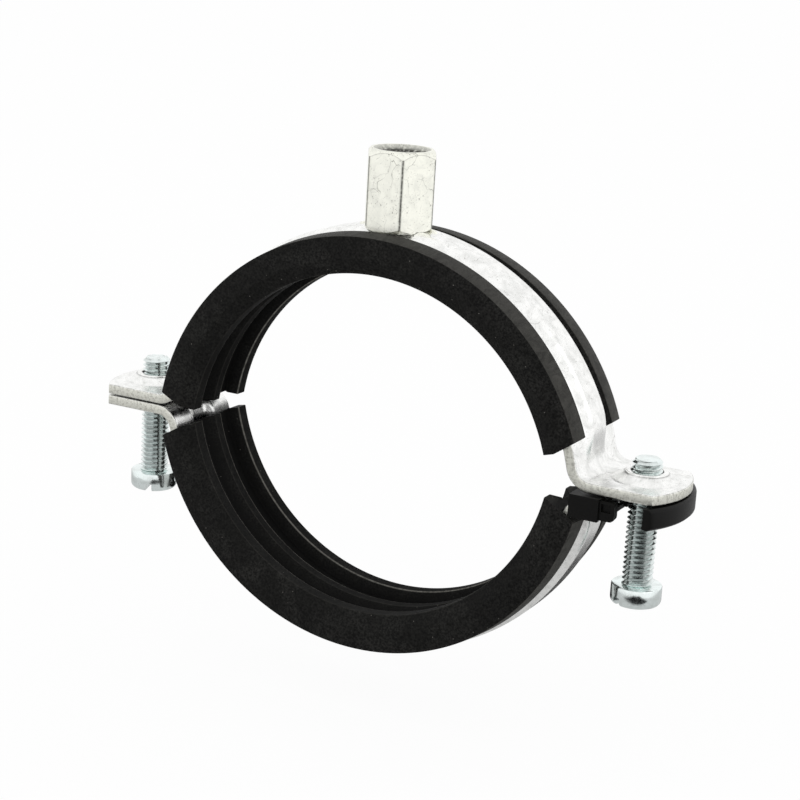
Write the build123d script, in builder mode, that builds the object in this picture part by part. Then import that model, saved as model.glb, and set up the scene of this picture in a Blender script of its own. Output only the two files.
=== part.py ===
from build123d import *
import os
from math import asin, cos, degrees, pi, radians, sin, sqrt, tan

# Two-screw pipe clamp with a rubber liner, millimetres. The pipe runs along Y. The flat lugs point along X.
# The origin lies on the pipe's centre, in the plane where the upper lugs' undersides meet the lower half.
# Each half is a shallow arc, so the closed clamp is wider than it is high until it is drawn open on its pipe.

# Clamp and pipe
seat_radius = 40.4  # liner's side lobes, where the pipe lies
arc_setback = 6.2  # from each half's left lug face to the centre of its arc
screw_stand_off = 9.2  # from the band's outer side to each screw axis
lug_gap = 0.3  # between the two left lugs

# Steel bands
band_width = 20.0
sheet = 2.0
bend_radius = 3.2  # inside of the bend between arc and lug
lug_overhang = 8.3  # from the screw axis to the lug's tip
lug_end_radius = 17.5
slotted_lug_trim = 0.5  # how much shorter the lower right lug is
bead_rise = 2.3  # stiffening bead pressed outwards along the middle of the arc
bead_top = 6.2
bead_base = 9.6
bead_end_height = 4.6  # from the lug face to the foot of the bead's end
bead_run_out = 4.0  # length of the slope at the bead's end

# Threaded collars drawn up from the upper lugs
thread_size = 6.0
thread_clearance = 0.05
collar_rise = 1.7
collar_wall = 1.05
collar_foot = 2.2  # width of the flare round the collar's foot
collar_flare = 0.9  # where the flare turns, out from the rim and up from the lug
collar_mouth = 0.6

# Rubber liner
lobe_depth = 4.3  # from the lobes' seat to the liner's back
liner_clearance = 0.1  # between rubber and steel
groove_floor = 1.8  # rubber left behind the grooves
lobe_inset = 0.5  # from the steel's edge in to the lobe's outer edge at the seat
side_cover = 1.1  # from the steel's edge out to the widest part of the side
side_drop = 1.2  # from the lip's top to the widest part
side_belly = 0.3  # how much narrower the side is level with the liner's back
lip_thickness = 1.9
lip_tip = 1.35
lip_length = 4.6  # how far a lip reaches over the band from the side
lobe_land = 2.6
groove_draft = 0.9
rib_rise = 1.75
rib_land = 2.0
rib_draft = 2.1
upper_liner_left = 8.9  # degrees from the level line through the arc's centre to each end of the rubber
upper_liner_right = 17.5
lower_liner_left = 11.0
lower_liner_right = 12.2
lip_setback = 2.4  # how far the lips end short of the rubber's body

# Connection nut
nut_flats = 13.0
nut_height = 15.4
nut_top_chamfer = 0.35
nut_seating = 0.35  # how far the nut's hollowed foot reaches down over the bead's crown
weld_gap = 0.02
upper_bore = 8.5  # minor diameter of M10
lower_bore = 6.8  # minor diameter of M8
upper_bore_depth = 8.5
bore_mouth = 0.9

# Screws
screw_length = 25.0
head_diameter = 9.8
head_height = 3.9
head_edge = 0.7
tip_chamfer = 0.6
slot_width = 1.6
slot_depth = 1.7
left_tip_height = 7.1
right_tip_height = 6.1
left_slot_turn = -71.0
right_slot_turn = 62.0
hole_clearance = 0.35  # round a screw in the lower lugs

# Screw retainer, a plastic shoe on the lower right lug
retainer_skin = 1.0
retainer_floor = 1.1
retainer_proud = 0.2  # how far its sides stand out past the rubber's
retainer_reach = 0.6  # beyond the upper lug's tip
retainer_end_radius = 21.5
retainer_fit = 0.1
mouth_left = 3.8  # from the screw axis to the mouth's left wall
mouth_right = 4.0
mouth_straight = 6.5  # from the screw axis to where the left wall starts to open out
mouth_taper = 1.0
lug_slot_relief = 0.9
cheek_reach = 10.8  # from the screw axis to the cheek's left end
cheek_drop = 0.4
shoe_corner = 0.5

# What follows from the sizes above
thread_radius = thread_size / 2
liner_back = seat_radius + lobe_depth
band_inner = liner_back + liner_clearance
band_outer = band_inner + sheet
bead_outer = band_outer + bead_rise
screw_x = band_outer + screw_stand_off
lug_tip = screw_x + lug_overhang
liner_half = band_width / 2 + side_cover
shoe_half = liner_half + retainer_proud
lower_left_face = -lug_gap
lower_right_face = lower_left_face - retainer_skin
upper_centre = -arc_setback
lower_centre = lower_left_face + arc_setback
collar_bore = thread_radius + thread_clearance
hole_radius = thread_radius + hole_clearance
far = 3 * lug_tip  # longer than anything here, for cuts that run right through

# The bead's hollow side follows its outer side, one sheet further in
bead_slope = (bead_base - bead_top) / 2
bead_lean = asin(bead_rise / sqrt(bead_rise**2 + bead_slope**2))
bead_inset = 2 * sheet * tan(bead_lean / 2)
hollow_base = bead_base - bead_inset
hollow_top = bead_top - bead_inset
bead_section = (bead_base, bead_top, band_outer, bead_outer)
hollow_section = (hollow_base, hollow_top, band_inner, band_inner + bead_rise)
half_turn = 180.0


def level_x(radius, height):
    """Half the chord of a circle at this height over its centre."""
    return sqrt(radius**2 - height**2)


def lug_outline(half=band_width / 2, right_tip=lug_tip, right_radius=lug_end_radius):
    """Plan of both lugs together: straight sides and an arc at each end."""
    left = lug_tip - lug_end_radius + level_x(lug_end_radius, half)
    right = right_tip - right_radius + level_x(right_radius, half)
    with BuildSketch() as plan:
        with BuildLine():
            Line((right, -half), (-left, -half))
            ThreePointArc((-left, -half), (-lug_tip, 0), (-left, half))
            Line((-left, half), (right, half))
            ThreePointArc((right, half), (right_tip, 0), (right, -half))
        make_face()
    return plan.sketch


def band_profile(up, centre, left_face, right_face):
    """Edge-on outline of a half band: an arc that bends into a flat lug at each end."""
    away = Align.MAX if up > 0 else Align.MIN
    with BuildSketch(Plane.XZ) as profile:
        with Locations((0, centre)):
            Circle(band_outer)
            Circle(band_inner, mode=Mode.SUBTRACT)
        for side, face in ((-1, left_face), (1, right_face)):
            back = face + up * sheet
            root = level_x(band_inner, face - centre)
            with Locations((side * far / 2, face)):
                Rectangle(far, far, align=(Align.CENTER, away), mode=Mode.SUBTRACT)
            with Locations((side * (root + lug_tip) / 2, (face + back) / 2)):
                Rectangle(lug_tip - root, sheet)
            outer_corner = (side * level_x(band_outer, back - centre), back)
            fillet(profile.vertices().sort_by_distance(outer_corner)[0], bend_radius)
            fillet(profile.vertices().sort_by_distance((side * root, face))[0], bend_radius + sheet)
    return profile.sketch


def radial_plane(centre, angle):
    """Plane through the arc's axis, its X along the pipe and its Y pointing outwards at this angle."""
    turn = radians(angle)
    return Plane(origin=(0, 0, centre), x_dir=(0, 1, 0), z_dir=(sin(turn), 0, -cos(turn)))


def arc_plane(centre, angle):
    """Plane across the pipe, its X pointing outwards from the arc's axis at this angle."""
    turn = radians(angle)
    return Plane(origin=(0, 0, centre), x_dir=(cos(turn), 0, sin(turn)), z_dir=(0, -1, 0))


def bead_solid(centre, start, end, base, top, floor, height):
    """Trapezoid ridge along the arc from one end angle to the other, with a slope at each end."""
    axis = Axis((0, 0, centre), (0, 1, 0))
    with BuildPart() as ridge:
        with BuildSketch(radial_plane(centre, start)):
            with BuildLine():
                Polyline(
                    (-base / 2, floor), (-top / 2, height), (top / 2, height), (base / 2, floor), close=True
                )
            make_face()
        revolve(axis=axis, revolution_arc=start - end)
        for angle, inward in ((start, -1), (end, 1)):
            with BuildSketch(arc_plane(centre, angle)):
                with BuildLine():
                    Polyline(
                        (floor, 0),
                        (height, inward * bead_run_out),
                        (height + sheet, inward * bead_run_out),
                        (height + sheet, -inward * sheet),
                        (floor, -inward * sheet),
                        close=True,
                    )
                make_face()
            extrude(amount=band_width, both=True, mode=Mode.SUBTRACT)
    return ridge.part


def bead_angles(up, centre, left_face, right_face):
    """End angles of the bead, measured from the level line through the arc's centre."""
    left = degrees(asin((left_face + up * bead_end_height - centre) / band_outer))
    right = degrees(asin((right_face + up * bead_end_height - centre) / band_outer))
    if up > 0:
        return half_turn - left, right
    return 2 * half_turn + right, half_turn - left


def collar_profile(height):
    """Half section of a drawn collar: a foot that flares out from a thin rim."""
    rim = collar_bore + collar_wall
    with BuildSketch(Plane.XZ) as section:
        with BuildLine():
            Line((collar_bore, height - sheet / 2), (rim + collar_foot, height - sheet / 2))
            Line((rim + collar_foot, height - sheet / 2), (rim + collar_foot, height))
            Line((rim + collar_foot, height), (rim + collar_flare, height + collar_flare))
            Line((rim + collar_flare, height + collar_flare), (rim, height + collar_rise))
            Line((rim, height + collar_rise), (collar_bore, height + collar_rise))
            Line((collar_bore, height + collar_rise), (collar_bore, height - sheet / 2))
        make_face()
    return section.sketch


def liner_section(centre, angle):
    """Section of the rubber: two side lobes with lips over the steel, two grooves and a middle rib."""
    groove_bottom = liner_back - groove_floor
    rib_top = groove_bottom - rib_rise
    lip_top = band_outer + lip_thickness
    lobe_edge = band_width / 2 - lobe_inset
    land_end = lobe_edge - lobe_land
    groove_outer = land_end - groove_draft
    rib_foot = rib_land / 2 + rib_draft
    with BuildSketch(radial_plane(centre, angle)) as section:
        with BuildLine():
            Polyline(
                (0, rib_top),
                (rib_land / 2, rib_top),
                (rib_foot, groove_bottom),
                (groove_outer, groove_bottom),
                (land_end, seat_radius),
                (lobe_edge, seat_radius),
                (liner_half - side_belly, liner_back),
                (liner_half, lip_top - side_drop),
                (liner_half - side_drop, lip_top),
                (liner_half - lip_length, band_outer + lip_tip),
                (liner_half - lip_length, band_outer),
                (0, band_outer),
            )
            mirror(about=Plane.YZ)
        make_face()
    return section.sketch


def half_liner(name, up, centre, faces, start, end):
    """Rubber for one half: the section turned along the arc, with its ends trimmed."""
    axis = Axis((0, 0, centre), (0, 1, 0))
    body_edge = (seat_radius + band_inner) / 2
    lip_top = band_outer + lip_thickness + 1
    section = liner_section(centre, start)
    steel = offset(band_profile(up, centre, *faces), amount=liner_clearance)
    with BuildPart() as liner:
        revolve(section, axis=axis, revolution_arc=start - end)
        extrude(steel, amount=band_width / 2 + liner_clearance, both=True, mode=Mode.SUBTRACT)
        for angle, inward in ((start, -1), (end, 1)):
            with BuildSketch(arc_plane(centre, angle)):
                with BuildLine():
                    Polyline(
                        (body_edge, 0),
                        (lip_top, inward * lip_setback),
                        (lip_top, -inward * lip_setback),
                        (body_edge, -inward * lip_setback),
                        close=True,
                    )
                make_face()
            extrude(amount=2 * liner_half, both=True, mode=Mode.SUBTRACT)
    liner.part.label = name
    return liner.part


def screw(name, x, tip_height, slot_turn):
    """Slotted cheese-head screw pointing up, its shank plain at the thread's outer size."""
    seat = tip_height - screw_length
    with BuildPart() as body:
        with BuildSketch(Plane.XY.offset(seat)):
            with Locations((x, 0)):
                Circle(thread_radius - thread_clearance)
        extrude(amount=screw_length)
        chamfer(body.edges().group_by(Axis.Z)[-1], tip_chamfer)
        with BuildSketch(Plane.XY.offset(seat - head_height)):
            with Locations((x, 0)):
                Circle(head_diameter / 2)
        extrude(amount=head_height)
        chamfer(body.edges().group_by(Axis.Z)[0], head_edge)
        with BuildSketch(Plane.XY.offset(seat - head_height)):
            with Locations(Location((x, 0), slot_turn)):
                Rectangle(2 * head_diameter, slot_width)
        extrude(amount=slot_depth, mode=Mode.SUBTRACT)
    body.part.label = name
    return body.part


os.makedirs("parts", exist_ok=True)
standing = (Align.CENTER, Align.CENTER, Align.MIN)
hanging = (Align.CENTER, Align.CENTER, Align.MAX)

# Upper band: arc, bead, two lugs, and a threaded collar drawn up from each lug
upper_faces = (0.0, 0.0)
upper_bead = bead_angles(1, upper_centre, *upper_faces)
with BuildPart() as upper_band:
    extrude(band_profile(1, upper_centre, *upper_faces), amount=band_width / 2, both=True)
    add(bead_solid(upper_centre, *upper_bead, *bead_section))
    add(bead_solid(upper_centre, *upper_bead, *hollow_section), mode=Mode.SUBTRACT)
    with BuildSketch(Plane.XY.offset(-far)):
        add(lug_outline())
    extrude(amount=2 * far, mode=Mode.INTERSECT)
    for side in (-1, 1):
        collar = Plane(origin=(side * screw_x, 0, 0)) * collar_profile(sheet)
        revolve(collar, axis=Axis((side * screw_x, 0, 0), (0, 0, 1)))
    with Locations((-screw_x, 0, sheet + collar_rise), (screw_x, 0, sheet + collar_rise)):
        Hole(collar_bore)
    with Locations((-screw_x, 0, 0), (screw_x, 0, 0)):
        Cone(collar_bore + collar_mouth, collar_bore, 2 * collar_mouth, align=standing, mode=Mode.SUBTRACT)
upper_band.part.label = "upper_band"
export_step(upper_band.part, "parts/upper_band.step")

# Lower band: its right lug lies one skin of the retainer lower, and is slotted towards the near side
lower_faces = (lower_left_face, lower_right_face)
slotted_lug_tip = lug_tip - slotted_lug_trim
lower_bead = bead_angles(-1, lower_centre, *lower_faces)
with BuildPart() as lower_band:
    extrude(band_profile(-1, lower_centre, *lower_faces), amount=band_width / 2, both=True)
    add(bead_solid(lower_centre, *lower_bead, *bead_section))
    add(bead_solid(lower_centre, *lower_bead, *hollow_section), mode=Mode.SUBTRACT)
    with BuildSketch(Plane.XY.offset(-far)):
        add(lug_outline(right_tip=slotted_lug_tip))
    extrude(amount=2 * far, mode=Mode.INTERSECT)
    with Locations((-screw_x, 0, 0)):
        Hole(hole_radius)
    with BuildSketch():
        with Locations((screw_x, 0)):
            Circle(hole_radius + lug_slot_relief)
        with Locations((screw_x, -band_width / 2)):
            Rectangle(2 * (hole_radius + lug_slot_relief), band_width)
    extrude(amount=lower_right_face - 2 * sheet, mode=Mode.SUBTRACT)
lower_band.part.label = "lower_band"
export_step(lower_band.part, "parts/lower_band.step")

# Rubber liners
upper_liner = half_liner(
    "upper_liner", 1, upper_centre, upper_faces, half_turn - upper_liner_left, upper_liner_right
)
export_step(upper_liner, "parts/upper_liner.step")
lower_liner = half_liner(
    "lower_liner", -1, lower_centre, lower_faces, -lower_liner_right, lower_liner_left - half_turn
)
export_step(lower_liner, "parts/lower_liner.step")

# Connection nut: a hexagon with its corners along X, seated over the bead's crown and threaded in two sizes
crown = upper_centre + bead_outer
nut_foot = crown - nut_seating
nut_top = nut_foot + nut_height
corner_radius = nut_flats / 2 / cos(pi / 6)
with BuildPart() as connection_nut:
    with BuildSketch(Plane.XY.offset(nut_foot)):
        RegularPolygon(radius=nut_flats / 2, side_count=6, major_radius=False)
    extrude(amount=nut_height)
    with BuildSketch(Plane.XZ):
        with BuildLine():
            Polyline(
                (0, nut_foot),
                (corner_radius, nut_foot),
                (corner_radius, nut_top - (corner_radius - nut_flats / 2 + nut_top_chamfer) * tan(pi / 6)),
                (nut_flats / 2 - nut_top_chamfer, nut_top),
                (0, nut_top),
                close=True,
            )
        make_face()
    revolve(axis=Axis.Z, mode=Mode.INTERSECT)
    with BuildSketch(Plane.XZ):
        with Locations((0, upper_centre)):
            Circle(bead_outer + weld_gap)
    extrude(amount=nut_flats, both=True, mode=Mode.SUBTRACT)
    with Locations((0, 0, nut_top)):
        CounterBoreHole(lower_bore / 2, upper_bore / 2, upper_bore_depth)
        Cone(upper_bore / 2, upper_bore / 2 + bore_mouth, bore_mouth, align=hanging, mode=Mode.SUBTRACT)
connection_nut.part.label = "connection_nut"
export_step(connection_nut.part, "parts/connection_nut.step")

# Screws, from below through the lower lugs into the collars
left_screw = screw("left_screw", -screw_x, left_tip_height, left_slot_turn)
export_step(left_screw, "parts/left_screw.step")
right_screw = screw("right_screw", screw_x, right_tip_height, right_slot_turn)
export_step(right_screw, "parts/right_screw.step")

# Screw retainer: a shoe round the slotted lug, with a mouth on the near side and a cheek beside the bend
shoe_top = -lug_gap
shoe_bottom = lower_right_face - sheet - retainer_floor
cheek_left = screw_x - cheek_reach
cheek_wall = shoe_half - band_width / 2 - retainer_fit
shoe_left = level_x(band_outer, lower_right_face - sheet - lower_centre) + bend_radius
cheek_right = screw_x - mouth_left - mouth_taper
with BuildPart() as screw_retainer:
    with BuildSketch(Plane.XY.offset(shoe_bottom)):
        add(lug_outline(shoe_half, lug_tip + retainer_reach, retainer_end_radius))
        with Locations((shoe_left, 0)):
            Rectangle(far, far, align=(Align.MAX, Align.CENTER), mode=Mode.SUBTRACT)
    extrude(amount=shoe_top - shoe_bottom)
    chamfer(screw_retainer.edges().filter_by(GeomType.CIRCLE), shoe_corner)
    with BuildSketch(Plane.XY.offset(shoe_bottom - cheek_drop)):
        with Locations((cheek_left, -shoe_half)):
            Rectangle(cheek_right - cheek_left, cheek_wall, align=(Align.MIN, Align.MIN))
    extrude(amount=shoe_top - shoe_bottom + cheek_drop)
    with BuildSketch(Plane.XY.offset(lower_right_face + retainer_fit)):
        with Locations((cheek_left, 0)):
            Rectangle(shoe_left - cheek_left + 1, 2 * shoe_half, align=(Align.MIN, Align.CENTER))
    extrude(amount=retainer_skin - retainer_fit)
    # pocket for the lug
    with BuildSketch(Plane.XY.offset(lower_right_face - sheet - retainer_fit)):
        add(lug_outline(band_width / 2 + retainer_fit, slotted_lug_tip + retainer_fit))
        with Locations((shoe_left - 1, 0)):
            Rectangle(far, far, align=(Align.MAX, Align.CENTER), mode=Mode.SUBTRACT)
    extrude(amount=sheet + 2 * retainer_fit, mode=Mode.SUBTRACT)
    # mouth for the screw
    with BuildSketch():
        with BuildLine():
            Polyline(
                (screw_x - mouth_left, 0),
                (screw_x - mouth_left, -mouth_straight),
                (cheek_right, -shoe_half),
                (cheek_right, -far),
                (screw_x + mouth_right, -far),
                (screw_x + mouth_right, 0),
                close=True,
            )
        make_face()
        with Locations((screw_x, 0)):
            Circle(hole_radius)
    extrude(amount=far, both=True, mode=Mode.SUBTRACT)
screw_retainer.part.label = "screw_retainer"
export_step(screw_retainer.part, "parts/screw_retainer.step")
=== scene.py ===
"""Rubber lined pipe clamp: zinc bands, rubber liners, a hanger nut, slotted screws and a retainer."""

from math import atan2, cos, exp, floor, pi, radians, sin, sqrt, tan

import bmesh
import bpy
from bpy.props import FloatProperty, FloatVectorProperty, PointerProperty
from bpy.types import Operator, Panel, PropertyGroup
from mathutils import Matrix, Vector, noise


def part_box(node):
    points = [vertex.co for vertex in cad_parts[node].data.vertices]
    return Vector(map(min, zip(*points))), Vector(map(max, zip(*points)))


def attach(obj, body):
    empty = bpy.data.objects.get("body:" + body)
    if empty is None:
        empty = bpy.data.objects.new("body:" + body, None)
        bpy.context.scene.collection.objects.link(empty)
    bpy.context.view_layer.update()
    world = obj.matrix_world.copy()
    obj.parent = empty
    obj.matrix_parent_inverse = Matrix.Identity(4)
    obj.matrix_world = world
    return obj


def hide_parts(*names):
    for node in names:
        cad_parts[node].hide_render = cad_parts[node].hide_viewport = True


bl_info = {
    "name": "Rubber Lined Pipe Clamp",
    "version": (1, 0, 0),
    "blender": (4, 5, 0),
    "location": "3D View > Sidebar > Pipe Clamp",
    "description": "Dresses a two-screw pipe clamp: bands, liner, nut, screws and retainer",
    "category": "Object",
}

MM = 0.001
SMOOTH_ANGLE = radians(32)

# Tolerances: lengths in metres and angles in radians
SAME_POINT = 1e-7
NO_LENGTH = 1e-8
SAME_ANGLE = 1e-6
NEARLY_STRAIGHT = 1.56

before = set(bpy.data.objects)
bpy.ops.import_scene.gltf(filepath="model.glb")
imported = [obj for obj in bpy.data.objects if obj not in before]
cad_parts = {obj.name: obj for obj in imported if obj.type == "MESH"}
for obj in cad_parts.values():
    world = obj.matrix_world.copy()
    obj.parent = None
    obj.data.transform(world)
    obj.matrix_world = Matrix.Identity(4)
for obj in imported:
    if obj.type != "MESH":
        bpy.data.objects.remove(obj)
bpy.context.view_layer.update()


def length(name, millimetres, description):
    """A length that the user can set, given in millimetres."""
    return FloatProperty(name=name, description=description, default=millimetres * MM, min=0,
                         unit="LENGTH", precision=4)


def turning(name, degrees, description):
    """An angle that the user can set, given in degrees."""
    return FloatProperty(name=name, description=description, default=radians(degrees), subtype="ANGLE")


def amount(name, default, description, unit="NONE"):
    """A number that the user can set."""
    return FloatProperty(name=name, description=description, default=default, unit=unit)


def surface_colour(name, default, description):
    """A colour that the user can set."""
    return FloatVectorProperty(name=name, description=description, default=default, size=3, min=0, max=1,
                               subtype="COLOR")


class ClampSizes(PropertyGroup):
    """Sizes of the visible forms. The outer limits come from the frame."""

    sheet: length("Sheet", 2, "Thickness of the steel strip")
    edge_round: length("Edge rounding", 0.3, "Rounding along the strip's cut edges")
    arc_radius: length("Arc radius", 46.8, "Outer radius of a band, beside its bead")
    bend_radius: length("Bend radius", 3.2, "Inside radius of the bend between arc and lug")
    lug_end_radius: length("Lug end radius", 17.5, "Radius of a lug's end in plan")
    slotted_trim: length("Slotted lug trim", 0.5, "How much shorter the slotted lug is")
    bead_base: length("Bead base", 9.6, "Width of the stiffening bead at its foot")
    bead_top: length("Bead top", 6.2, "Width of the stiffening bead along its top")
    bead_rise: length("Bead rise", 2.3, "Height of the stiffening bead")
    bead_stop: length("Bead stop", 0.1, "How far before the bend the upper bead ends")
    bead_into_bend: length("Bead into bend", 3.4, "How far the lower bead runs into the bend")
    bead_run_out: length("Bead run-out", 6, "Length of the slope at the bead's end")
    collar_foot: length("Collar foot", 6.5, "Radius at which the drawn collar leaves the lug")
    collar_rim: length("Collar rim", 4.1, "Outer radius of the collar's rim")
    collar_rise: length("Collar rise", 1.7, "Height of the rim over the lug")
    collar_bore: length("Collar bore", 3.05, "Radius of the collar's hole")
    hole: length("Plain hole", 3.35, "Radius of the lower left lug's hole")
    slot_half: length("Slot half width", 4.25, "Half the width of the lower right lug's slot")
    liner_back: length("Liner back", 44.7, "Radius at which the rubber lies against the steel")
    seat: length("Seat", 40.4, "Radius of the rubber's side lobes")
    lobe_side: length("Lobe side", 43.3, "Radius at which a lobe's side meets the liner's side")
    groove_floor: length("Groove floor", 42.9, "Radius of the rubber's grooves at the bottom")
    rib_top: length("Rib top", 41.15, "Radius of the rubber's middle rib")
    lip_top: length("Lip top", 48.7, "Greatest radius that the lips' slanting ends are drawn to")
    lip_outer_top: length("Lip outer top", 47.9, "Radius of the lips' tops at the liner's sides")
    lip_inner_top: length("Lip inner top", 48.35, "Radius of the lips' tops at their inner edges")
    lip_reach: length("Lip reach", 4.6, "How far a lip reaches in over the steel")
    lip_setback: length("Lip setback", 2.4, "How far the lips end short of the rubber's body")
    screw_pitch: length("Screw pitch", 1, "Pitch of the screws' thread")
    screw_root: length("Screw root", 2.42, "Root radius of the screws' thread")
    screw_crest: length("Screw crest", 2.95, "Crest radius of the screws' thread")
    head_height: length("Head height", 3.9, "Height of a screw's head")
    slot_width: length("Slot width", 1.6, "Width of the screwdriver slot")
    slot_depth: length("Slot depth", 1.7, "Depth of the screwdriver slot")
    nut_bore: length("Nut bore", 4.25, "Crest radius of the nut's upper thread")
    nut_pitch: length("Nut pitch", 1.5, "Pitch of the nut's upper thread")
    nut_chamfer: length("Nut chamfer", 0.35, "How far the top chamfer comes in past the flats")


class ClampColours(PropertyGroup):
    """Colours of the finishes."""

    zinc: surface_colour("Band zinc", (0.99, 0.99, 0.975), "Bright plating on the bands")
    zinc_dull: surface_colour("Dull zinc", (0.42, 0.43, 0.41), "Dull patches in the plating")
    cut_steel: surface_colour("Cut edge", (0.8, 0.8, 0.73), "Sheared edges of the strip")
    nut_zinc: surface_colour("Nut zinc", (1, 1, 0.91), "Plating on the nut")
    screw_zinc: surface_colour("Screw zinc", (0.88, 0.95, 0.94), "Blue plating on the screws")
    rubber: surface_colour("Rubber", (0.0015, 0.0015, 0.0013), "Liner")
    rubber_bloom: surface_colour("Rubber bloom", (0.031, 0.0305, 0.0282), "Greyish bloom on the liner")
    plastic: surface_colour("Plastic", (0.0025, 0.0024, 0.0022), "Retainer")
    plastic_bloom: surface_colour("Plastic bloom", (0.0055, 0.0053, 0.0048), "Paler patches on the retainer")


class ClampStage(PropertyGroup):
    """Camera and light."""

    azimuth: turning("Azimuth", 27.54, "Camera's turn round the object")
    elevation: turning("Elevation", 14.96, "Camera's height angle")
    roll: turning("Roll", 3.41, "Camera's roll")
    distance: length("Distance", 400, "From the camera to its target")
    lens: amount("Lens", 90.22, "Focal length in millimetres", "CAMERA")
    world_light: amount("World light", 0.9, "Strength of the even light")
    key_power: amount("Key power", 0.5, "Power of the key lamp in watts", "POWER")
    fill_power: amount("Fill power", 0.4, "Power of the fill lamp in watts", "POWER")


# Places taken from the frame
LUG_TIP, BAND_HALF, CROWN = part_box("upper_band")[1]
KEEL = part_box("lower_band")[0].z
LINER_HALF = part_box("upper_liner")[1].y
NUT_LOW, NUT_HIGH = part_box("connection_nut")
NUT_FLATS = (NUT_HIGH.y - NUT_LOW.y) / 2
NUT_SEAT = CROWN - 0.85 * MM
NUT_CHAMFER_ANGLE = radians(49)

# Turn of each screwdriver slot in degrees, and how battered the tip is
SCREWS = {"left_screw": (-71.0, 0.35 * MM), "right_screw": (62.0, 0.12 * MM)}

# Each liner's direction, body, and its left and right ends' angles above its arc's centre in degrees
LINERS = {
    "upper_liner": (1, "upper_half", (8.9, 16.8)),
    "lower_liner": (-1, "lower_half", (12.3, 12.2)),
}

# How far the lower lugs lie under the upper ones
LEFT_GAP = 0.3 * MM
RIGHT_GAP = 1.3 * MM

# Plan places of the weld lumps in millimetres
WELD_PLACES = ((3.4, -2.9), (-4.6, -2.6), (3.9, 2.8), (-3.6, 2.9), (7.2, 0.8), (-7.2, -0.6))

# Finishes: what the groups give, their inputs and masks, and the colours of their marks
GROUP_RESULTS = ("Color", "Roughness", "Height")
METAL_INPUTS = ("Bright", "Cloud", "Scratches", "Specks", "Roughness", "Dull", "Cut Color")
# The masks hold painted shade, and on the rubber also a pale mark that is partly wear and partly painted
# sheen
METAL_MASKS = {"Cut Edge": "cut_edge", "Painted Shade": "grime"}
MOULDED_INPUTS = ("Base", "Bloom", "Grain", "Specks", "Roughness")
MOULDED_MASKS = {"Wear And Sheen": "worn", "Shade": "grime"}
SCRATCHES = (  # stretch, turn and width of each set of scratches
    ((0.16, 0.2, 0.13), (0.3, 0.5, 0.2), 0.006),
    ((0.3, 0.12, 0.22), (1.1, 0.2, 0.9), 0.0045),
    ((0.55, 0.5, 0.4), (0.5, 1.3, 0.4), 0.008),
)
METAL_SPECK = (0.24, 0.235, 0.2, 1)
EDGE_RIM = (0.12, 0.12, 0.1, 1)
SCRATCH_DARK = (0.06, 0.06, 0.05, 1)
# Painted shade: the metal's creases, hollows and thread valleys, and the rubber's grooves
PAINTED_SHADE_DARK = (0.02, 0.02, 0.018, 1)
GROOVE_DARK = (0.0008, 0.0008, 0.0007, 1)
# Pale mark on the rubber: partly wear, partly painted sheen
RUBBER_WEAR_AND_SHEEN = (0.2, 0.194, 0.174, 1)
DUST = (0.22, 0.21, 0.19, 1)
WHITE = (1, 1, 1, 1)

# Camera
CAMERA_TARGET = Vector((2.72, 0, 7.85)) * MM
SENSOR_WIDTH = 36


# Mesh helpers


def placed(name, data):
    """A new object in the scene."""
    item = bpy.data.objects.new(name, data)
    bpy.context.scene.collection.objects.link(item)
    return item


def finish_mesh(name, bm, look, body, stands_for=None):
    """Turns a bmesh into a piece with a named finish that rides on a body and stands for a node."""
    bmesh.ops.remove_doubles(bm, verts=bm.verts, dist=SAME_POINT)
    bmesh.ops.dissolve_degenerate(bm, edges=bm.edges, dist=NO_LENGTH)
    bmesh.ops.recalc_face_normals(bm, faces=bm.faces)
    mesh = bpy.data.meshes.new(name)
    bm.to_mesh(mesh)
    bm.free()
    mesh.shade_smooth()
    mesh.set_sharp_from_angle(angle=SMOOTH_ANGLE)
    mesh.materials.append(finish(look))
    piece = placed(name, mesh)
    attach(piece, body)
    if stands_for:
        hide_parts(stands_for)
    return piece


def grid_mesh(rows, wrap_rows=False, wrap_columns=True, **masks):
    """A bmesh of quads through rows of points; each mask's values are stored for the finishes to read."""
    bm = bmesh.new()
    for mask in masks:
        bm.verts.layers.float.new(mask)
    layers = bm.verts.layers.float
    grid = [[bm.verts.new(point) for point in row] for row in rows]
    for mask, values in masks.items():
        for row, row_values in zip(grid, values):
            for vert, value in zip(row, row_values):
                vert[layers[mask]] = value
    last_row = len(grid) if wrap_rows else len(grid) - 1
    last_column = len(grid[0]) if wrap_columns else len(grid[0]) - 1
    for i in range(last_row):
        near, after = grid[i], grid[(i + 1) % len(grid)]
        for j in range(last_column):
            k = (j + 1) % len(near)
            bm.faces.new((near[j], near[k], after[k], after[j]))
    return bm, grid


def capped(rows, **masks):
    """A bmesh through rows of points, with a face across each end."""
    bm, grid = grid_mesh(rows, **masks)
    for row in (grid[0], grid[-1]):
        bm.faces.new(row)
    return bm


def lathe(profile, x, y, steps=64, **masks):
    """A turned solid from (radius, height) points, which end on the axis or close on themselves."""
    rows = []
    for step in range(steps):
        angle = 2 * pi * step / steps
        rows.append([(x + r * cos(angle), y + r * sin(angle), z) for r, z in profile])
    on_axis = profile[0][0] == 0 and profile[-1][0] == 0
    masks = {mask: [values] * steps for mask, values in masks.items()}
    bm, _ = grid_mesh(rows, wrap_rows=True, wrap_columns=not on_axis, **masks)
    bmesh.ops.remove_doubles(bm, verts=bm.verts, dist=SAME_POINT)
    return bm


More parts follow.
